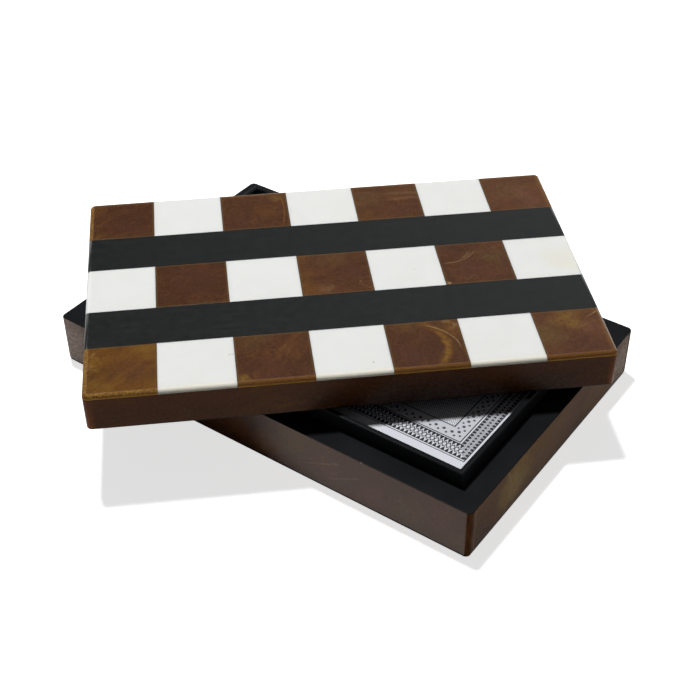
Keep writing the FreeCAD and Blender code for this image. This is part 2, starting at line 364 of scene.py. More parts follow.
def amber_body(finish, place, seed, tone, gold, flow):
    """Marbled amber: cloudy depth, drawn-out wisps along flow, and drifts of gold."""
    spot = finish.moved(place, offset=[seed * step for step in AMBER_SEED_STEP])
    swirl = finish.noise(spot, 0.045, detail=2.0, colour=True)
    warp = finish.scaled(swirl, SWIRL_REACH)
    spot = finish.add("VectorMath", enumerate((spot, warp)), operation="ADD")
    cloud = finish.noise(spot, 0.075, detail=5.0, roughness=0.6)
    drawn = finish.moved(finish.moved(spot, turn=-flow), stretch=(0.04, 0.36, 0.2))
    wisps = finish.noise(drawn, 1.0, detail=6.0, roughness=0.6, distortion=0.3)
    grain = finish.noise(spot, 0.9, detail=4.0, roughness=0.7)
    drift = finish.noise(spot, 0.035, detail=3.0)
    depth = finish.plus(finish.times(cloud, CLOUD_IN_DEPTH), finish.times(wisps, WISPS_IN_DEPTH),
                        finish.times(grain, GRAIN_IN_DEPTH), tone - DEPTH_MEAN)
    colour = finish.blend(finish.ramp(depth, 0.15, 0.85), AMBER_DEEP, AMBER_BROWN)
    gilt = finish.plus(drift, finish.times(wisps, WISPS_IN_GOLD),
                       finish.times(grain, GRAIN_IN_GOLD), gold - GOLD_MEAN)
    colour = finish.blend(finish.ramp(gilt, 0.0, 0.6), colour, AMBER_GOLD)
    return colour, spot, wisps


def hair_veins(finish, spot, amount):
    """Thin pale veins where a warped noise crosses its middle, only in some places."""
    level = finish.noise(spot, 0.055, detail=3.0, roughness=0.5)
    line = finish.band(level, 0.5, 0.002, 0.012)
    fine = finish.noise(spot, 0.21, detail=4.0)
    line_fine = finish.times(finish.band(fine, 0.48, 0.001, 0.02), 0.45)
    where = finish.ramp(finish.noise(spot, 0.06, detail=1.0), 0.52, 0.68)
    return finish.times(finish.most(line, line_fine), where, amount)


def arc_vein(finish, place, centre, radius, width, sector):
    """A curved streak: part of a ring about centre, ragged, over a sector given in degrees."""
    x, y, _ = finish.split(place)
    wobble = finish.uneven(place, 0.35, width * MARK_RAGGED)
    across = finish.minus(x, centre[0])
    along = finish.minus(y, centre[1])
    away = finish.plus(finish.hypotenuse(across, along), wobble)
    ring = finish.band(away, radius, width * 0.1, width * 0.9)
    angle = finish.times(finish.math("ARCTAN2", along, across), 180 / math.pi)
    middle, half = (sector[0] + sector[1]) / 2, (sector[1] - sector[0]) / 2
    broken = finish.ramp(finish.noise(place, 0.8, detail=4.0), 0.3, 0.6, MARK_LEAST)
    return finish.times(ring, broken, finish.band(angle, middle, half * 0.5, half * 0.6))


def patch(finish, place, centre, radius):
    """A cloudy spot that fades out towards its radius, with a ragged outline."""
    x, y, _ = finish.split(place)
    away = finish.hypotenuse(finish.minus(x, centre[0]), finish.minus(y, centre[1]))
    ragged = finish.uneven(place, PATCH_SCALE / radius, radius * MARK_RAGGED)
    clouds = finish.noise(place, 0.8, detail=6.0, roughness=0.7)
    mottled = finish.ramp(clouds, 0.38, 0.6, MARK_LEAST)
    spread = finish.fade(finish.plus(away, ragged), radius * 0.1, radius * 1.1)
    return finish.times(spread, mottled)


def marked(finish, colour, place, marks):
    """The colour with its marks, each (kind, strength, shape), where kind names the colour."""
    for kind, strength, shape in marks:
        mask = patch(finish, place, *shape) if len(shape) == 2 else arc_vein(finish, place, *shape)
        colour = finish.blend(finish.times(mask, strength), colour, MARK_COLOURS[kind])
    return colour


def resin_surface(finish, colour, place, wisps, sanded=0.0, roughness=0.15, specular=0.3):
    """Polish of the cast resin: fine polishing haze, faint ripples, and sanded edges."""
    haze = finish.noise(place, 0.9, detail=6.0, roughness=0.7)
    polish = finish.ramp(finish.plus(haze, finish.times(wisps, 0.3)), 0.35, 0.9,
                         roughness, roughness + HAZE_ROUGHNESS)
    finish.set(Base_Color=colour, IOR=RESIN_IOR, Specular_IOR_Level=specular,
               Roughness=finish.plus(polish, finish.times(sanded, SANDED_ROUGHNESS)))
    ripple = finish.plus(finish.noise(place, 0.11, detail=2.0),
                         finish.times(finish.noise(place, 2.6, detail=3.0), FINE_RIPPLES))
    finish.set(Normal=finish.bump(ripple, RIPPLE_DEPTH))


def edge_distances(finish, place):
    """Distances in from the lid's front and left edges, and from its back and right ones."""
    x, y, _ = finish.split(place)
    from_front = finish.least(finish.plus(TRAY_HALF[0], x), finish.plus(TRAY_HALF[1], y))
    from_back = finish.least(finish.minus(TRAY_HALF[0], x), finish.minus(TRAY_HALF[1], y))
    return from_front, from_back


def sanded_edge(finish, place):
    """One along the lid's rounded front and left edges, little along the other two."""
    from_front, from_back = edge_distances(finish, place)
    return finish.most(finish.fade(from_front, *FRONT_SANDING),
                       finish.fade(from_back, *BACK_SANDING))


# Each brown tile: seed, tone, share of gold, direction of its wisps in degrees, and its marks.
# A mark's shape is a patch (centre, radius) or an arc (centre, radius, width, sector), in
# millimetres and degrees in the lid's plan.
BROWN_TILES = {
    "tile_back_1": (1.0, 0.42, 0.0, 35, [
        ("gold", 0.3, ((-87, 52), 6)), ("wine", 0.35, ((-76, 38), 9))]),
    "tile_back_3": (2.0, 0.47, 0.02, 80, [
        ("gold", 0.7, ((-60, 45), 45.6, 0.6, (-16, 13))), ("bright", 0.35, ((-17, 53), 4)),
        ("gold", 0.2, ((-22, 44), 8)), ("wine", 0.4, ((-34, 37), 9))]),
    "tile_back_5": (3.0, 0.5, 0.04, 4, [
        ("olive", 0.45, ((18, 48), 9)), ("gold", 0.3, ((16, 35), 6)),
        ("wine", 0.35, ((31, 38), 8)), ("pale", 0.13, ((30, 10), 40.5, 1.5, (74, 98))),
        ("pale", 0.1, ((34, 8), 38.6, 1.2, (78, 104)))]),
    "tile_back_7": (4.0, 0.6, 0.0, 20, [
        ("olive", 0.4, ((75, 47), 10)), ("rose", 0.25, ((80, 41), 9)),
        ("gold", 0.2, ((86, 50), 6))]),
    "tile_middle_2": (5.0, 0.37, -0.12, 4, [("wine", 0.4, ((-50, 2), 11))]),
    "tile_middle_4": (6.0, 0.5, 0.04, 12, [
        ("gold", 0.4, ((-9, -10), 7)), ("olive", 0.4, ((0, 11), 9)), ("wine", 0.35, ((6, 0), 7)),
        ("pale", 0.14, ((-4, -8), 2.3, 0.4, (-170, 110))), ("pale", 0.14, ((-4, -9), 4)),
        ("pale", 0.3, ((8.6, -6.2), 0.7)), ("pale", 0.12, ((2, -18), 12, 0.5, (32, 62)))]),
    "tile_middle_6": (7.0, 0.5, 0.0, 15, [
        ("wine", 0.5, ((50, -5), 9)), ("wine", 0.4, ((43, 10), 6)), ("olive", 0.5, ((59, 3), 7)),
        ("pale", 0.36, ((41.5, 14.5), 13.7, 0.35, (-101, -42))),
        ("pale", 0.3, ((43.2, 8.8), 7.0, 0.35, (-60, -12))),
        ("pale", 0.26, ((44.2, 9.2), 7.2, 0.35, (-58, -14))),
        ("pale", 0.22, ((45.2, 9.8), 7.6, 0.35, (-56, -18))),
        ("pale", 0.12, ((47, -8.6), 1.4, 0.3, (-160, 40))),
        ("pale", 0.12, ((49.6, -9.2), 1.2, 0.3, (-60, 140))), ("pale", 0.9, ((39.6, -11.6), 1.3))]),
    "tile_front_1": (8.0, 0.36, 0.22, 40, [
        ("gold", 0.6, ((-84, -36), 14)), ("bright", 0.45, ((-87.5, -41), 6)),
        ("bright", 0.25, ((-86, -53), 7)), ("wine", 0.6, ((-72, -46), 10)),
        ("bright", 0.3, ((-68, -35), 5)),
        ("pale", 0.28, ((-92, -32), 7.5, 0.45, (-62, -20))),
        ("pale", 0.24, ((-94, -37), 9.5, 0.45, (-66, -30)))]),
    "tile_front_3": (9.0, 0.47, 0.02, 60, [
        ("wine", 0.4, ((-27, -50), 9)), ("olive", 0.4, ((-32, -34), 8)),
        ("pale", 0.07, ((-24.5, -38.5), 3.0, 0.4, (-150, 20))),
        ("pale", 0.07, ((-22.5, -42), 2.2, 0.35, (-90, 100))),
        ("bright", 0.6, ((-36.5, -55), 3)), ("pale", 0.9, ((-37, -57), 1.4))]),
    "tile_front_5": (10.0, 0.44, 0.0, 55, [
        ("wine", 0.55, ((19, -51), 9)), ("olive", 0.35, ((20, -34), 6)),
        ("gold", 0.85, ((18.2, -46.2), 14.8, 2.4, (-52, 70))),
        ("bright", 0.3, ((18.2, -46.2), 14.4, 1.2, (-50, 40))), ("gold", 0.5, ((36, -37), 7)),
        ("pale", 0.3, ((34.5, -33.4), 1.8)), ("pale", 0.3, ((37.3, -35.6), 1.6)),
        ("pale", 0.2, ((35.8, -37.6), 1.5)), ("dark", 0.8, ((21, -50), 15.6, 0.5, (10, 72))),
        ("pale", 0.4, ((21, -50), 16.4, 0.5, (5, 72)))]),
    "tile_front_7": (11.0, 0.57, 0.08, 38, [
        ("bright", 0.45, ((77, -37), 9)), ("olive", 0.7, ((67, -45), 9)),
        ("rose", 0.25, ((84, -43), 6)), ("wine", 0.35, ((81, -52), 8)),
        ("pale", 0.4, ((80, -28), 9.6, 0.4, (-72, -38))),
        ("pale", 0.3, ((80.6, -27), 9.9, 0.35, (-68, -42)))]),
}


# The few marks that the white tiles have, in the same form.
WHITE_MARKS = {
    "tile_front_2": [("grey", 0.7, ((-39.5, -41.7), 0.6)), ("grey", 0.6, ((-40.3, -41.8), 0.6))],
    "tile_front_4": [("grey", 0.6, ((6.8, -52.0), 0.6))],
    "tile_middle_7": [("cream", 0.5, ((84, -3), 12))],
}


def tile_span(name):
    """The tile's lowest and highest x and y in the lid's plan, in millimetres."""
    turn = Matrix.Rotation(-LID_TURN, 3, "Z")
    spots = [turn @ (vertex.co - LID_CENTRE) / MM for vertex in NODES[name].data.vertices]
    return (min(spot.x for spot in spots), max(spot.x for spot in spots),
            min(spot.y for spot in spots), max(spot.y for spot in spots))


def brown_tile(name):
    """A tile of amber resin, with painted glow along its rounded outer edges, as of light let
    through.
    """
    seed, tone, gold, flow, marks = BROWN_TILES[name]
    finish = Finish("resin_" + name)
    place = finish.lid_place()
    colour, spot, wisps = amber_body(finish, place, seed, tone, gold, flow)
    colour = finish.blend(hair_veins(finish, spot, 0.03), colour, AMBER_VEIN)
    colour = marked(finish, colour, place, marks)
    x, y, z = finish.split(place)
    x_low, x_high, y_low, y_high = tile_span(name)
    from_joint = finish.least(finish.minus(x, x_low), finish.minus(x_high, x),
                              finish.minus(y, y_low), finish.minus(y_high, y))
    line = finish.times(finish.band(from_joint, *JOINT_LINE), JOINT_LINE_STRENGTH)
    colour = finish.blend(line, colour, AMBER_OLIVE)
    colour = finish.blend(finish.fade(from_joint, *JOINT_SHADE_FADE), colour, AMBER_NIGHT)
    from_front, from_back = edge_distances(finish, place)
    # Painted glow: lighter and warmer along the back and right edges.
    colour = finish.blend(finish.fade(from_back, *BACK_EDGE_FADE), colour, AMBER_BACK_EDGE_GLOW)
    speckle = finish.times(
        finish.ramp(finish.noise(place, 1.3, detail=5.0, roughness=0.7), 0.4, 0.6),
        finish.ramp(x, SPECKLED_TO, PLAIN_FROM, 1.0, PLAIN_SPECKLE))
    # Painted glow along the rounded front edge: bright at the foot, golden and speckled above.
    above_glow = finish.ramp(z, INLAY_FOOT, INLAY_FOOT + GLOW_HEIGHT)
    thin = finish.blend(above_glow, AMBER_FRONT_GLOW,
                        finish.blend(speckle, AMBER_FRONT_EDGE, AMBER_SANDED_GLOW))
    colour = finish.blend(finish.fade(from_front, *FRONT_EDGE_FADE), colour, thin)
    resin_surface(finish, colour, place, wisps, sanded_edge(finish, place))
    finish.set(Subsurface_Weight=0.35, Subsurface_Radius=(1.0, 0.45, 0.18),
               Subsurface_Scale=AMBER_SOAK * MM)
    return finish.material


def white_tile(name):
    """A tile of white resin: hardly a cloud, a few specks, light that soaks through, and a painted
    cream glow along its front edge.
    """
    finish = Finish("resin_" + name)
    place = finish.lid_place()
    seed = sum(map(ord, name)) % WHITE_SEEDS
    spot = finish.moved(place, offset=[seed * step for step in WHITE_SEED_STEP])
    cloud = finish.noise(spot, 0.09, detail=4.0)
    colour = finish.blend(finish.ramp(cloud, 0.25, 0.8), RESIN_CLEAR, RESIN_CLOUD)
    speck = finish.fade(finish.dots(spot, 0.085), 0.014, 0.04, 0.35)
    colour = finish.blend(speck, colour, RESIN_SPECK)
    colour = marked(finish, colour, place, WHITE_MARKS.get(name, []))
    _, y, _ = finish.split(place)
    from_front = finish.plus(TRAY_HALF[1], y)
    # Painted glow: the front edge turns cream, as of light let through the rounded edge.
    colour = finish.blend(finish.fade(from_front, *WHITE_EDGE_FADE), colour, RESIN_FOOT_GLOW)
    resin_surface(finish, colour, place, cloud, sanded_edge(finish, place))
    finish.set(Subsurface_Weight=0.8, Subsurface_Radius=(1.0, 0.95, 0.85),
               Subsurface_Scale=WHITE_SOAK * MM)
    return finish.material


def black_stripe():
    """Black resin, sanded to a dull satin, with faint sanding lines along the lid."""
    finish = Finish("black_inlay")
    place = finish.lid_place()
    lines = finish.noise(finish.moved(place, stretch=(0.06, 1.6, 1)), 1.0, detail=5.0)
    cloud = finish.noise(place, 0.3, detail=5.0)
    shade = finish.plus(finish.times(lines, 0.5), finish.times(cloud, 0.5))
    colour = finish.blend(finish.ramp(shade, 0.3, 0.7), STRIPE_DARK, STRIPE_LIGHT)
    polish = finish.ramp(shade, 0.3, 0.7, 0.2, 0.27)
    finish.set(Base_Color=colour, Specular_IOR_Level=0.5,
               Roughness=finish.plus(polish, finish.times(sanded_edge(finish, place), 0.08)),
               Normal=finish.bump(lines, 0.01))
    return finish.material


# ---- cladding

# Each slab of the tray: seed, tone, share of gold, direction of its wisps, gloss, where its
# painted top edge is nicked, and its marks, in the slab's own plane of length and height.
TRAY_SLABS = {
    "front": (20.0, 0.58, 0.0, 30, 0.31, 47.4, [
        # The pale patch at the front slab's left end is painted light.
        ("night", 0.8, ((3, 18), 12)), ("painted_light", 0.75, ((-87, 9), 18)),
        ("olive", 0.7, ((20, 14), 9)), ("rose", 0.35, ((34, 10), 9)), ("rose", 0.3, ((52, 7), 8)),
        ("olive", 0.7, ((65, 8), 9)), ("rose", 0.3, ((77, 12), 9)), ("olive", 0.6, ((86, 5), 7)),
        ("pale", 0.2, ((-55.4, 190.7), 200, 0.6, (-67.5, -63.2))),
        ("pale", 0.24, ((-55.4, 190.7), 200, 0.8, (-64.5, -61.8))),
        ("pale", 0.26, ((-55.7, 183.9), 200, 0.6, (-63.8, -58.8))),
        ("pale", 0.14, ((-8, 81.9), 100, 0.4, (-47.4, -43.8)))]),
    "back": (21.0, 0.5, 0.12, 25, 0.4, -30.0, []),
    "left": (22.0, 0.5, 0.12, 20, 0.4, 21.0, []),
    "right": (23.0, 0.93, 0.3, 35, 0.012, -14.2, [
        ("night", 0.5, ((-48, 7), 13)), ("bright", 1.0, ((-29, 10), 13)),
        ("bright", 0.5, ((-24, 16), 10)), ("bright", 0.5, ((-30, 12), 9)),
        # The two pale patches at the right slab's far end are a painted highlight.
        ("pale", 0.3, ((-29, 10), 9)), ("painted_light", 0.9, ((53, 10), 15)), ("painted_light", 0.5, ((51, 9), 10)),
        ("wine", 0.15, ((-6, 8), 9)), ("rose", 0.35, ((8, 12), 12)),
        ("bright", 0.8, ((-48, 11), 16.2, 1.0, (-40, 36))),
        ("pale", 0.5, ((-48, 11), 16.4, 0.5, (-20, 30))),
        ("pale", 0.3, ((-46, 8), 19, 0.5, (-10, 30)))]),
}

# Each slab of the lid, in the same form but without a nick.
LID_SLABS = {
    # The front slab's three night patches are painted shade: it is darker low down in its middle
    # and on its right.
    "front": (30.0, 0.52, 0.02, 15, 0.08, [
        ("night", 0.95, ((30, 24), 50)), ("night", 0.9, ((12, 28), 30)),
        ("night", 0.75, ((66, 28), 26))]),
    "back": (31.0, 0.4, 0.06, 10, 0.3, []),
    "left": (32.0, 0.4, 0.06, 20, 0.3, []),
    "right": (33.0, 0.4, 0.08, 20, 0.3, []),
}

END_GRAIN_DARK = srgb(84, 50, 24)
END_GRAIN_LIGHT = srgb(118, 76, 40)
BLACK_PAINT = srgb(22, 23, 25)
FISSURE_BROWN = srgb(30, 22, 18)
NICK_PALE = srgb(190, 175, 150)

# How far the paint laps over the tray's top edge and the lid's foot, and how far it wanders.
TRAY_PAINT_LAP = 0.15
TRAY_PAINT_WANDER = 0.3
LID_PAINT_LAP = 0.35
LID_PAINT_WANDER = 0.5

# The fissure in the front slab, along the slab and by height: middle, half width, softness.
FISSURE_ALONG = (16.6, 0.08, 0.25)
FISSURE_HEIGHT = (13.6, 1.6, 1.6)
FISSURE_STRENGTH = 0.7

# Half width and softness of the glue lines and nicks. A glue line lies a little inside the
# joint, and a nick starts and is full at two depths below the rim.
GLUE_WIDTHS = (0.1, 0.2)
GLUE_INSET = 0.15
GLUE_STRENGTH = 0.45
NICK_WIDTHS = (0.15, 0.3)
NICK_DEPTHS = (0.75, 0.45)
NICK_STRENGTH = 0.75

# Painted glow at the ends of a long slab: which end, how far in it starts and is full, its
# strength.
END_GLOWS = ((-1, 4.0, 1.0, 0.7), (1, 3.5, 0.8, 0.8))
# Strengths of the painted glow at the lid slabs' ends and towards their tops.
LID_END_GLOW = 0.7
LID_SIDE_GLOW = 0.5


def slab_body(finish, place, side, seed, tone, gold, flow, marks, end_glow=0.0):
    """Amber in the plane of a slab, with its marks.

    A long slab gets a painted glow at its rounded ends, by end_glow, as of light let through
    where it is thinner. A short slab has a glue line at each end, beside the long slab that covers
    it.
    """
    x, y, z = finish.split(place)
    long_side = side in ("front", "back")
    drawn_on = finish.join(x, z, y) if long_side else finish.join(y, z, x)
    colour, spot, wisps = amber_body(finish, drawn_on, seed, tone, gold, flow)
    colour = finish.blend(hair_veins(finish, spot, 0.08), colour, AMBER_VEIN)
    colour = marked(finish, colour, drawn_on, marks)
    if long_side:
        glows = [finish.ramp(finish.times(x, end), TRAY_HALF[0] - start, TRAY_HALF[0] - full,
                             0.0, strength) for end, start, full, strength in END_GLOWS]
        glow = finish.times(finish.plus(*glows), end_glow)
        return finish.blend(glow, colour, AMBER_END_GLOW), wisps
    joint = TRAY_HALF[1] - VENEER_THICKNESS
    glue = finish.band(finish.absolute(y), joint - GLUE_INSET, *GLUE_WIDTHS)
    return finish.blend(finish.times(glue, GLUE_STRENGTH), colour, AMBER_GLUE), wisps


def lapped_top(finish, place, colour):
    """The colour with the rim's black paint, which laps raggedly over the tray's top edge."""
    _, _, z = finish.split(place)
    reach = finish.plus(finish.minus(z, RIM_TOP - TRAY_PAINT_LAP),
                        finish.uneven(place, 0.35, TRAY_PAINT_WANDER))
    return finish.blend(finish.ramp(reach, -0.06, 0.03), colour, BLACK_PAINT)


def tray_slab(side):
    """A slab on the tray: black paint laps over its top edge, which has a small nick."""
    seed, tone, gold, flow, gloss, nick, marks = TRAY_SLABS[side]
    finish = Finish("resin_veneer_" + side)
    place = finish.place()
    x, y, z = finish.split(place)
    colour, wisps = slab_body(finish, place, side, seed, tone, gold, flow, marks)
    along = x if side in ("front", "back") else y
    if side == "front":
        fissure = finish.times(finish.band(x, *FISSURE_ALONG), finish.band(z, *FISSURE_HEIGHT))
        colour = finish.blend(finish.times(fissure, FISSURE_STRENGTH), colour, FISSURE_BROWN)
    colour = lapped_top(finish, place, colour)
    nicked = finish.times(finish.band(along, nick, *NICK_WIDTHS),
                          finish.ramp(z, RIM_TOP - NICK_DEPTHS[0], RIM_TOP - NICK_DEPTHS[1]))
    colour = finish.blend(finish.times(nicked, NICK_STRENGTH), colour, NICK_PALE)
    resin_surface(finish, colour, place, wisps, roughness=0.32, specular=gloss)
    return finish.material


def slab_end():
    """The sawn ends of the front and back slabs, which cover the ends of the side slabs."""
    finish = Finish("resin_veneer_ends")
    place = finish.place()
    drawn = finish.noise(finish.moved(place, stretch=(0.5, 0.5, 0.12)), 0.9, detail=5.0)
    colour = finish.blend(finish.ramp(drawn, 0.35, 0.7), END_GRAIN_DARK, END_GRAIN_LIGHT)
    colour = lapped_top(finish, place, colour)
    resin_surface(finish, colour, place, drawn, roughness=0.3, specular=0.01)
    return finish.material


def lid_slab(side):
    """A slab on the lid's side, with painted light that makes it lighter towards its top, and whose
    foot is painted black with the underside.
    """
    seed, tone, gold, flow, gloss, marks = LID_SLABS[side]
    finish = Finish("resin_lid_veneer_" + side)
    place = finish.lid_place()
    _, _, z = finish.split(place)
    colour, wisps = slab_body(finish, place, side, seed, tone, gold, flow, marks, LID_END_GLOW)
    # Painted light: the slab grows lighter and more orange towards its top.
    glow = finish.ramp(z, LID_FOOT, LID_TOP, 0.0, LID_SIDE_GLOW)
    colour = finish.blend(glow, colour, AMBER_SIDE_GLOW)
    reach = finish.plus(finish.minus(z, LID_FOOT + LID_PAINT_LAP),
                        finish.uneven(place, 0.35, LID_PAINT_WANDER))
    colour = finish.blend(finish.fade(reach, -0.05, 0.12), colour, BLACK_PAINT)
    resin_surface(finish, colour, place, wisps, roughness=0.25, specular=gloss)
    return finish.material


# ---- black boards and felt

LACQUER_DARK = srgb(20, 21, 23)
LACQUER_LIGHT = srgb(25, 26, 29)
LACQUER_DUST = srgb(120, 120, 120)
FELT_DARK = srgb(14, 14, 16)
FELT_LIGHT = srgb(38, 38, 41)


def black_board():
    """Satin black lacquer on board: fine dust, slight orange peel, and rubbed streaks."""
    finish = Finish("black_lacquer")
    place = finish.place()
    cloud = finish.noise(place, 0.05, detail=5.0)
    peel = finish.noise(place, 1.3, detail=2.0)
    dust = finish.fade(finish.dots(place, 0.7), 0.03, 0.09, 0.05)
    rubbed = finish.noise(finish.moved(place, turn=30, stretch=(0.1, 1.2, 1)), 0.6, detail=4.0)
    colour = finish.blend(finish.ramp(cloud, 0.3, 0.7), LACQUER_DARK, LACQUER_LIGHT)
    colour = finish.blend(dust, colour, LACQUER_DUST)
    wear = finish.plus(cloud, finish.times(rubbed, 0.4))
    finish.set(Base_Color=colour, Roughness=finish.ramp(wear, 0.5, 1.0, 0.36, 0.46),
               Specular_IOR_Level=0.05, Normal=finish.bump(peel, 0.02))
    return finish.material


def black_felt():
    """Short black felt: matted fibres and a dull sheen."""
    finish = Finish("black_felt")
    place = finish.place()
    fibres = finish.noise(place, 1.6, detail=8.0, roughness=0.8, distortion=1.2)
    mottle = finish.noise(place, 0.16, detail=3.0)
    shade = finish.plus(finish.times(fibres, 0.7), finish.times(mottle, 0.3))
    colour = finish.blend(finish.ramp(shade, 0.3, 0.7), FELT_DARK, FELT_LIGHT)
    finish.set(Base_Color=colour, Roughness=0.95, Specular_IOR_Level=0.15,
               Sheen_Weight=0.35, Sheen_Roughness=0.45, Normal=finish.bump(fibres, 0.25))
    return finish.material


# ---- cards

CARD_PITCH = 0.3
CARD_THICKNESS = 0.27
CARD_CORNER = 3.2
CORNER_STEPS = 7
CARD_STOCK = srgb(220, 222, 230)
CUT_LIGHT = srgb(238, 237, 232)
CUT_DARK = srgb(204, 202, 196)
PRINT_BLACK = srgb(24, 26, 34)

# How loose a deck is: its random seed, share of a card's lean that the next one keeps,
# spread of the lean across and along, in millimetres, and spread of the turn, in degrees.
DECK_SEEDS = {"left": 5, "right": 9}
LEAN_KEPT = 0.8
LEAN_SPREAD = (0.05, 0.07)
TURN_SPREAD = 0.05

# Rules of the printed border, each a pair of distances in from the long and the short edges,
# and half their lines' widths.
OUTER_RULE = (2.25, 5.1)
INNER_RULE = (7.15, 11.7)
SECOND_RULE = (8.05, 12.35)
FIELD_RULE = (13.5, 17.9)
RULES = ((OUTER_RULE, 0.13), (INNER_RULE, 0.12), (SECOND_RULE, 0.17), (FIELD_RULE, 0.18))
RULE_SOFT = 0.07
BEAD_PITCH = 1.58
DOT_PITCH = 3.12

# Rows of spots: share of the way across the band, radius, and shift along in pitches.
BEAD_ROWS = ((0.12, 0.62, 0), (0.88, 0.62, 0), (0.5, 0.5, 0.5))
DOT_ROWS = ((0.3, 0.46, 0.5), (0.53, 0.62, 0))
LONG_SIDE_DOT_ROW = (0.74, 0.42, 0.5)
SPOT_SOFT = 0.1

# The short sides' pattern, in shares of the way across: foot and tip of each row of teeth,
# and between them a braid: start and length of its wave, and (middle, half width, softness).
OUTER_TEETH = (0.1, 0.44)
INNER_TEETH = (0.99, 0.68)
BRAID_START = 0.36
BRAID_WAVE = 0.42
BRAID_BAND = (0.57, 0.21, 0.03)

# Half the foot of a tooth, in bead pitches, and the braid's strand: middle, half width and
# softness, in millimetres.
TOOTH_FOOT = 0.52
STRAND_BAND = (0, 0.19, 0.14)

# Pitches of the fine hatch, the lozenges and the linen texture, and strengths of the inks.
HATCH_PITCH = 0.8
LOZENGE_PITCH = 1.0
LINEN_PITCH = 0.42
BRAID_INK = 0.9
HATCH_INK = 0.6
DOT_INK = 0.92
DOT_GROUND = 0.19
LOZENGE_INK = 0.8


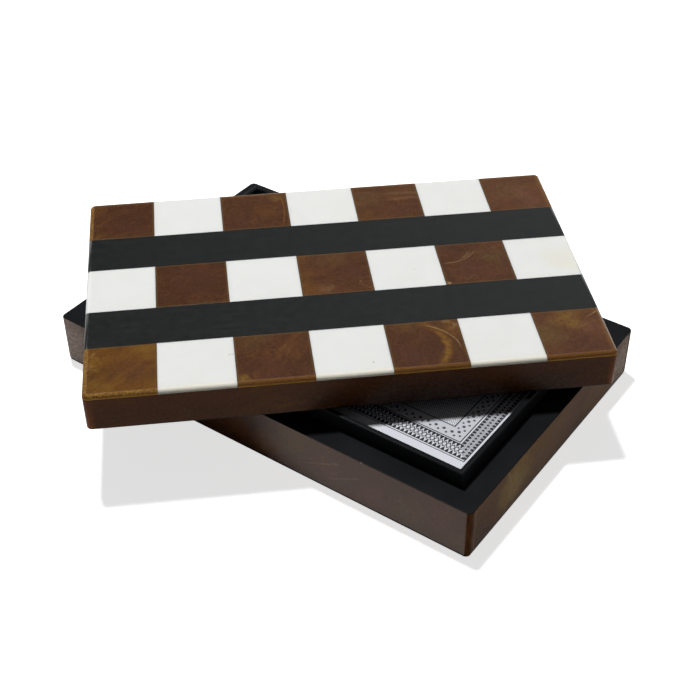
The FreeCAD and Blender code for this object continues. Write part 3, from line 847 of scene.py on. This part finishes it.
def card_print(side):
    """White stock with a black border of teeth, beads and dots round a field of lozenges."""
    finish = Finish("card_back_" + side)
    low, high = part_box("top_card_" + side)
    middle = (low + high) / 2 / MM
    half = (high - low) / 2 / MM
    place = finish.place()
    x, y, z = finish.split(place)
    x, y = finish.minus(x, middle.x), finish.minus(y, middle.y)
    from_long = finish.minus(half.x, finish.absolute(x))
    from_short = finish.minus(half.y, finish.absolute(y))

    def depth_in(step):
        """How far inside the rectangle at a step of the border."""
        return finish.least(finish.minus(from_long, step[0]), finish.minus(from_short, step[1]))

    def wave(value, pitch):
        """A cosine along a value, between 0 and 1."""
        turn = finish.times(value, 2 * math.pi / pitch)
        return finish.plus(finish.times(finish.math("COSINE", turn), 0.5), 0.5)

    def spots(along, across, width, pitch, rows):
        """Rows of round spots in a band of a given width."""
        printed = 0.0
        for share, radius, shift in rows:
            to_centre = finish.math("PINGPONG", finish.plus(along, pitch * shift), pitch / 2)
            away = finish.hypotenuse(to_centre, finish.minus(across, width * share))
            spot = finish.fade(away, radius - SPOT_SOFT, radius + SPOT_SOFT)
            printed = finish.most(printed, spot)
        return printed

    def band_place(start, end):
        """Along and across a band between two steps, mitred at the card's corners."""
        across_long = finish.times(finish.minus(from_long, start[0]), 1 / (end[0] - start[0]))
        across_short = finish.times(finish.minus(from_short, start[1]), 1 / (end[1] - start[1]))
        short = finish.math("LESS_THAN", across_short, across_long)
        along = finish.plus(finish.times(x, short), finish.times(y, finish.minus(1, short)))
        across = finish.least(across_long, across_short)
        within = finish.times(finish.ramp(across, -0.01, 0.01), finish.fade(across, 0.99, 1.01))
        return along, across, within, short

    def teeth(base, tip):
        """A row of triangles that stand at one share of the way across and point to another."""
        rise = finish.times(finish.minus(across, base), 1 / (tip - base))
        half_tooth = finish.times(finish.minus(1, rise), BEAD_PITCH * TOOTH_FOOT)
        under = finish.minus(half_tooth, to_bead)
        return finish.times(finish.ramp(under, -RULE_SOFT, RULE_SOFT),
                            finish.band(rise, 0.5, 0.48, 0.04))

    # The outer band: along the short edges two rows of teeth with a braid between them, along
    # the long edges two rows of beads with smaller ones between them, on a fine hatch.
    along, across, in_chain, short = band_place(OUTER_RULE, INNER_RULE)
    to_bead = finish.math("PINGPONG", along, BEAD_PITCH / 2)
    swing = finish.times(finish.minus(across, BRAID_START), 2 * math.pi / BRAID_WAVE)
    sway = finish.times(finish.math("COSINE", swing), BEAD_PITCH / 4)
    strand = finish.minus(to_bead, finish.plus(sway, BEAD_PITCH / 4))
    braid = finish.times(finish.band(strand, *STRAND_BAND), finish.band(across, *BRAID_BAND))
    toothed = finish.most(teeth(*OUTER_TEETH), teeth(*INNER_TEETH),
                          finish.times(braid, BRAID_INK))
    width = INNER_RULE[0] - OUTER_RULE[0]
    across_mm = finish.times(across, width)
    hatch = finish.most(wave(finish.plus(along, across_mm), HATCH_PITCH),
                        wave(finish.minus(along, across_mm), HATCH_PITCH))
    beaded = finish.most(spots(along, across_mm, width, BEAD_PITCH, BEAD_ROWS),
                         finish.times(hatch, HATCH_INK))
    printed = finish.times(finish.plus(finish.times(toothed, short),
                                       finish.times(beaded, finish.minus(1, short))), in_chain)

    # The inner band: rows of dots on a grey ground, two on every side and a third on the long.
    along, across, in_dots, short = band_place(SECOND_RULE, FIELD_RULE)
    width = FIELD_RULE[1] - SECOND_RULE[1]
    across_mm = finish.times(across, width)
    third = finish.times(spots(along, across_mm, width, DOT_PITCH, [LONG_SIDE_DOT_ROW]),
                         finish.minus(1, short))
    dots = finish.most(spots(along, across_mm, width, DOT_PITCH, DOT_ROWS), third, DOT_GROUND)
    printed = finish.most(printed, finish.times(dots, in_dots, DOT_INK))

    lozenges = finish.times(wave(finish.plus(x, y), LOZENGE_PITCH),
                            wave(finish.minus(x, y), LOZENGE_PITCH))
    in_field = finish.ramp(depth_in(FIELD_RULE), -0.05, 0.05)
    field = finish.times(finish.ramp(lozenges, 0.15, 0.6), in_field, LOZENGE_INK)
    lines = [finish.band(depth_in(step), 0, half_width, RULE_SOFT) for step, half_width in RULES]
    printed = finish.most(printed, field, *lines)

    top = top_of("top_card_" + side)
    top_face = finish.ramp(z, top - 0.1, top - 0.02)
    mottle = finish.noise(place, 1.5, detail=5.0)
    ink = finish.times(printed, top_face, finish.ramp(mottle, 0.1, 0.5, 0.86, 1.0))
    linen = finish.times(wave(x, LINEN_PITCH), wave(y, LINEN_PITCH))
    finish.set(Base_Color=finish.blend(ink, CARD_STOCK, PRINT_BLACK),
               Roughness=finish.ramp(mottle, 0.3, 0.7, 0.38, 0.5), Specular_IOR_Level=0.3,
               Coat_Weight=0.1, Coat_Roughness=0.3, Normal=finish.bump(linen, 0.006))
    return finish.material


def card_edges():
    """Cut edges of the deck: white paper whose shade changes from card to card."""
    finish = Finish("card_edges")
    place = finish.place()
    _, _, z = finish.split(place)
    layer = finish.times(z, 1 / CARD_PITCH)
    shade = finish.noise(finish.join(0.5, 0.5, layer), 1.0, detail=1.0)
    fibre = finish.noise(finish.moved(place, stretch=(1, 1, 9)), 0.8, detail=5.0)
    grey = finish.plus(finish.times(shade, 0.6), finish.times(fibre, 0.3))
    colour = finish.blend(grey, CUT_LIGHT, CUT_DARK)
    finish.set(Base_Color=colour, Roughness=0.7, Specular_IOR_Level=0.3,
               Normal=finish.bump(fibre, 0.03))
    return finish.material


def rounded_outline(half_x, half_y, radius):
    """Points round a rectangle with rounded corners, anticlockwise."""
    points = []
    for number, (x, y) in enumerate(((1, 1), (-1, 1), (-1, -1), (1, -1))):
        centre = Vector((x * (half_x - radius), y * (half_y - radius)))
        for step in range(CORNER_STEPS + 1):
            angle = math.radians(90 * (number + step / CORNER_STEPS))
            points.append(centre + radius * Vector((math.cos(angle), math.sin(angle))))
    return points


def loose_deck(side, seed):
    """The cards below the top one, each a little out of line with its neighbours."""
    low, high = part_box("deck_" + side)
    middle = (low + high) / 2
    half = (high - low) / 2
    draw = random.Random(seed)
    outline = rounded_outline(half.x, half.y, CARD_CORNER * MM)
    count = round((high.z - low.z) / (CARD_PITCH * MM))
    mesh = bmesh.new()
    lean = Vector((0, 0))
    for number in range(count):
        push = Vector([draw.gauss(0, spread) for spread in LEAN_SPREAD])
        lean = lean * LEAN_KEPT + push * MM
        turn = Matrix.Rotation(math.radians(draw.gauss(0, TURN_SPREAD)), 2)
        foot = low.z + number * CARD_PITCH * MM
        head = foot + CARD_THICKNESS * MM
        ring_low, ring_high = [], []
        for point in outline:
            spot = turn @ point + lean
            ring_low.append(mesh.verts.new((middle.x + spot.x, middle.y + spot.y, foot)))
            ring_high.append(mesh.verts.new((middle.x + spot.x, middle.y + spot.y, head)))
        mesh.faces.new(reversed(ring_low))
        mesh.faces.new(ring_high)
        for index in range(len(outline)):
            after = (index + 1) % len(outline)
            mesh.faces.new((ring_low[index], ring_low[after], ring_high[after],
                            ring_high[index]))
    cards = put_mesh("loose_cards_" + side, mesh)
    cards.data.materials.append(card_edges())
    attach(cards, side + "_deck")
    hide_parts("deck_" + side)


# ---- dressing the CAD parts

# How the names of the lacquered boards start.
BOARDS = ("wall_", "liner_", "lid_rail_", "base_board", "divider", "lid_panel")

# Width of the ease on sharp edges and how near two corners are welded, in millimetres, and
# the least angle between faces that is eased, in degrees.
EASE = 0.045
EASE_SEGMENTS = 2
WELD_REACH = 0.002
EASE_ANGLE = 40

# A face belongs to a slab's painted edge or to its sawn end when its normal points that way
# by more than this.
PAINTED_NORMAL = 0.5
END_NORMAL = 0.3


def dress(node, material, ease=EASE, faces=()):
    """Gives a CAD part its finish, some faces one of their own, and breaks sharp edges."""
    part = NODES[node]
    part.data.materials.clear()
    part.data.materials.append(material)
    for index, (finish, wanted) in enumerate(faces, start=1):
        part.data.materials.append(finish)
        for face in part.data.polygons:
            if wanted(face.normal):
                face.material_index = index
    if ease:
        weld = part.modifiers.new("weld", "WELD")
        weld.merge_threshold = WELD_REACH * MM
        bevel = part.modifiers.new("ease", "BEVEL")
        bevel.width = ease * MM
        bevel.segments = EASE_SEGMENTS
        bevel.limit_method = "ANGLE"
        bevel.angle_limit = math.radians(EASE_ANGLE)
        bevel.harden_normals = True


def dress_all():
    """Gives every node its finish, and each deck its loose cards."""
    lacquer = black_board()
    felt = black_felt()
    stripe = black_stripe()
    for node in NODES:
        if node.startswith(BOARDS):
            dress(node, lacquer)
        elif node.startswith("stripe_"):
            dress(node, stripe)
        elif "felt" in node or node == "lid_lining":
            dress(node, felt, ease=0)
        elif node in BROWN_TILES:
            dress(node, brown_tile(node))
        elif node.startswith("tile_"):
            dress(node, white_tile(node))
    end_grain = slab_end()
    for side in SIDES:
        faces = [(lacquer, lambda normal: normal.z > PAINTED_NORMAL)]
        if side in ("front", "back"):
            faces.append((end_grain, lambda normal: abs(normal.x) > END_NORMAL))
        dress("veneer_" + side, tray_slab(side), faces=faces)
        dress("lid_veneer_" + side, lid_slab(side),
              faces=[(lacquer, lambda normal: normal.z < -PAINTED_NORMAL)])
    for side, seed in DECK_SEEDS.items():
        dress("top_card_" + side, card_print(side), ease=0)
        loose_deck(side, seed)


# ---- table, light and camera

WHITE = (1, 1, 1, 1)
BLACK = (0, 0, 0, 1)
TABLE_RADIUS = 0.8
TABLE_STEPS = 96
TABLE_DROP = 0.0001

# The table's white for the camera and for scattered light, and its glow for the camera.
TABLE_WHITE = 0.92
TABLE_BOUNCE = 0.50
TABLE_LIFT = 0.7

# How open the table is within a reach, where mirrors show it dark and where bright.
OVERHANG_REACH = 0.08
OVERHANG_SAMPLES = 16
OVERHANG_DARK = 0.37
OVERHANG_CLEAR = 0.46


def make_table():
    """A round white table: it mirrors bright in polished sides, but throws little light up.

    In mirrors it is dark close under the part, where little of the open room is seen. It ends
    where the lamp still makes it full white, so its edge can't be told from the world.
    """
    mesh = bmesh.new()
    turns = [2 * math.pi * step / TABLE_STEPS for step in range(TABLE_STEPS)]
    mesh.faces.new([mesh.verts.new((TABLE_RADIUS * math.cos(turn),
                                    TABLE_RADIUS * math.sin(turn), -TABLE_DROP))
                    for turn in turns])
    table = put_mesh("table", mesh)
    finish = Finish("table")
    camera_ray, mirror_ray = finish.rays()
    white = (TABLE_WHITE, TABLE_WHITE, TABLE_WHITE, 1)
    dim = (TABLE_BOUNCE, TABLE_BOUNCE, TABLE_BOUNCE, 1)
    openness = finish.add("AmbientOcclusion", {"Distance": OVERHANG_REACH}, output=OPENNESS,
                          samples=OVERHANG_SAMPLES)
    from_below = finish.ramp(openness, OVERHANG_DARK, OVERHANG_CLEAR)
    lit = finish.blend(camera_ray, dim, white)
    finish.set(Base_Color=finish.blend(mirror_ray, lit, BLACK), Roughness=0.9,
               Specular_IOR_Level=0.1, Emission_Color=WHITE,
               Emission_Strength=finish.plus(finish.times(camera_ray, TABLE_LIFT),
                                             finish.times(mirror_ray, from_below)))
    table.data.materials.append(finish.material)


# Strengths of the sky for scattered light and in mirrors. A direction's x tells left from
# right, and its z tells the horizon from the sky.
SKY_SOFT = 0.05
SKY_MIRRORED_LEFT = 0.03
SKY_MIRRORED_RIGHT = 0.40
LEFT_END = -0.7
RIGHT_START = -0.2
HORIZON_TOP = 0.22
HORIZON_FADE = 0.40


def make_world():
    """White to the camera. In mirrors a white horizon under a dim sky, brighter on the right."""
    world = bpy.data.worlds.new("studio")
    bpy.context.scene.world = world
    world.use_nodes = True
    nodes = Nodes(world.node_tree)

    def mix(factor, first, second):
        """The second strength in place of the first, by factor."""
        return nodes.add("Mix", {"Factor": factor, "A": first, "B": second})

    camera_ray, mirror_ray = nodes.rays()
    x, _, z = nodes.split(nodes.add("TexCoord", output=GENERATED_COORDINATES))
    overhead = nodes.ramp(x, LEFT_END, RIGHT_START, SKY_MIRRORED_LEFT, SKY_MIRRORED_RIGHT,
                          course="LINEAR")
    above = nodes.ramp(z, HORIZON_TOP, HORIZON_FADE, course="LINEAR")
    mirrored = mix(above, 1.0, overhead)
    indirect = mix(mirror_ray, SKY_SOFT, mirrored)
    background = nodes.tree.nodes["Background"]
    nodes.feed(background.inputs["Strength"], mix(camera_ray, indirect, 1.0))
    nodes.feed(background.inputs["Color"], WHITE)


KEY_PLACE = Vector((-0.35, 0.18, 1.50))
KEY_TARGET = Vector((0, 0, 0.02))
KEY_SIZE = 0.14
KEY_POWER = 22.0


def make_key():
    """A square lamp high over the part, a little to the left and behind."""
    data = bpy.data.lights.new("key", "AREA")
    data.shape = "SQUARE"
    data.size = KEY_SIZE
    data.energy = KEY_POWER
    lamp = put("key", data)
    lamp.location = KEY_PLACE
    lamp.rotation_euler = (KEY_TARGET - KEY_PLACE).to_track_quat("-Z", "Y").to_euler()


CAMERA_TARGET = Vector((0.0109, -0.0121, 0.0200))
CAMERA_DISTANCE = 0.4698
CAMERA_AZIMUTH = 35.34
CAMERA_ELEVATION = 39.01
CAMERA_ROLL = -0.26
CAMERA_LENS = 67.09
CAMERA_SENSOR = 36


def make_camera():
    """Looks down at the near corner of the tray."""
    azimuth, elevation = math.radians(CAMERA_AZIMUTH), math.radians(CAMERA_ELEVATION)
    away = Vector((math.sin(azimuth) * math.cos(elevation),
                   -math.cos(azimuth) * math.cos(elevation), math.sin(elevation)))
    data = bpy.data.cameras.new("camera")
    data.lens = CAMERA_LENS
    data.sensor_width = CAMERA_SENSOR
    camera = put("camera", data)
    camera.location = CAMERA_TARGET + CAMERA_DISTANCE * away
    look = (-away).to_track_quat("-Z", "Y")
    roll = Matrix.Rotation(math.radians(CAMERA_ROLL), 4, "Z")
    camera.rotation_euler = (look.to_matrix().to_4x4() @ roll).to_euler()
    bpy.context.scene.camera = camera


dress_all()
make_table()
make_world()
make_key()
make_camera()
bpy.context.scene.view_settings.view_transform = "Standard"
